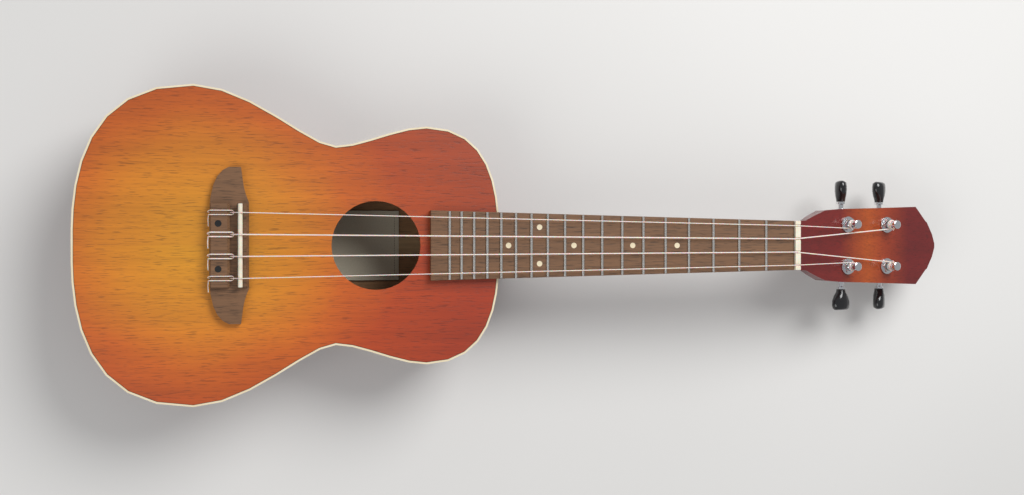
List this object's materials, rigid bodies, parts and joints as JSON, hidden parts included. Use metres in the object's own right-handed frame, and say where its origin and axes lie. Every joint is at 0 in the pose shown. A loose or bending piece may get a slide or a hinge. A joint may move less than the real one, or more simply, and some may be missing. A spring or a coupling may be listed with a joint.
{
  "type": "concert ukulele",
  "caption": "Four-string ukulele with a waisted hollow wooden body, fretted neck, tie bridge and geared tuning machines on a tilted headstock.",
  "frame": {"origin": "on the outer face of the back, on the centreline, under the crown of the saddle", "axes": "+X from the saddle towards the headstock, +Y to the bass side, +Z out of the soundboard"},
  "size_m": [0.616, 0.2072, 0.0784],
  "materials": {
    "top_wood": "satin sunburst stain over mahogany",
    "body_wood": "satin dark cherry stain",
    "inner_wood": "bare",
    "walnut": "open-pored, oiled",
    "binding": "cream, buffed",
    "bone": "polished",
    "fret_metal": "polished nickel silver",
    "nylon": "translucent",
    "chrome": "bright",
    "black_plastic": "glossy"
  },
  "bodies": {
    "root": {"soundboard": "top_wood", "back_plate": "body_wood", "side_bass": "body_wood", "side_treble": "body_wood", "neck": "body_wood", "top_binding": "binding", "back_binding": "binding", "top_lining": "inner_wood", "back_lining": "inner_wood", "neck_block": "inner_wood", "tail_block": "inner_wood", "top_bracing": "inner_wood", "back_bracing": "inner_wood", "bridge_plate": "inner_wood", "bridge": "walnut", "fingerboard": "walnut", "nut": "bone", "saddle": "bone", "fret_01": "fret_metal", "fret_02": "fret_metal", "fret_03": "fret_metal", "fret_04": "fret_metal", "fret_05": "fret_metal", "fret_06": "fret_metal", "fret_07": "fret_metal", "fret_08": "fret_metal", "fret_09": "fret_metal", "fret_10": "fret_metal", "fret_11": "fret_metal", "fret_12": "fret_metal", "fret_13": "fret_metal", "fret_14": "fret_metal", "fret_15": "fret_metal", "fret_16": "fret_metal", "fret_17": "fret_metal", "fret_18": "fret_metal", "string_g": "nylon", "bushing_g": "chrome", "housing_g": "chrome", "string_c": "nylon", "bushing_c": "chrome", "housing_c": "chrome", "string_e": "nylon", "bushing_e": "chrome", "housing_e": "chrome", "string_a": "nylon", "bushing_a": "chrome", "housing_a": "chrome"},
    "button_g": {"worm_shaft_g": "chrome", "button_g": "black_plastic"},
    "post_g": {"post_g": "chrome"},
    "button_c": {"worm_shaft_c": "chrome", "button_c": "black_plastic"},
    "post_c": {"post_c": "chrome"},
    "button_e": {"worm_shaft_e": "chrome", "button_e": "black_plastic"},
    "post_e": {"post_e": "chrome"},
    "button_a": {"worm_shaft_a": "chrome", "button_a": "black_plastic"},
    "post_a": {"post_a": "chrome"}
  },
  "joints": [
    {"name": "button_g_turn", "type": "hinge", "parent": "root", "child": "button_g", "pos_m": [0.4355, 0.0152, 0.03428], "axis": [0, 1, 0], "continuous": true},
    {"name": "post_g_turn", "type": "hinge", "parent": "root", "child": "post_g", "pos_m": [0.43034, 0.0152, 0.05494], "axis": [0.2419, 0, 0.9703], "continuous": true, "deforming": ["string_g"]},
    {"name": "button_c_turn", "type": "hinge", "parent": "root", "child": "button_c", "pos_m": [0.47111, 0.0152, 0.0254], "axis": [0, 1, 0], "continuous": true},
    {"name": "post_c_turn", "type": "hinge", "parent": "root", "child": "post_c", "pos_m": [0.46595, 0.0152, 0.04607], "axis": [0.2419, 0, 0.9703], "continuous": true, "deforming": ["string_c"]},
    {"name": "button_e_turn", "type": "hinge", "parent": "root", "child": "button_e", "pos_m": [0.47111, -0.0152, 0.0254], "axis": [0, 1, 0], "continuous": true},
    {"name": "post_e_turn", "type": "hinge", "parent": "root", "child": "post_e", "pos_m": [0.46595, -0.0152, 0.04607], "axis": [0.2419, 0, 0.9703], "continuous": true, "deforming": ["string_e"]},
    {"name": "button_a_turn", "type": "hinge", "parent": "root", "child": "button_a", "pos_m": [0.4355, -0.0152, 0.03428], "axis": [0, 1, 0], "continuous": true},
    {"name": "post_a_turn", "type": "hinge", "parent": "root", "child": "post_a", "pos_m": [0.43034, -0.0152, 0.05494], "axis": [0.2419, 0, 0.9703], "continuous": true, "deforming": ["string_a"]}
  ],
  "couplings": [
    {"joint": "post_g_turn", "follows": "button_g_turn", "ratio": -0.071429},
    {"joint": "post_c_turn", "follows": "button_c_turn", "ratio": -0.071429},
    {"joint": "post_e_turn", "follows": "button_e_turn", "ratio": -0.071429},
    {"joint": "post_a_turn", "follows": "button_a_turn", "ratio": -0.071429}
  ]
}
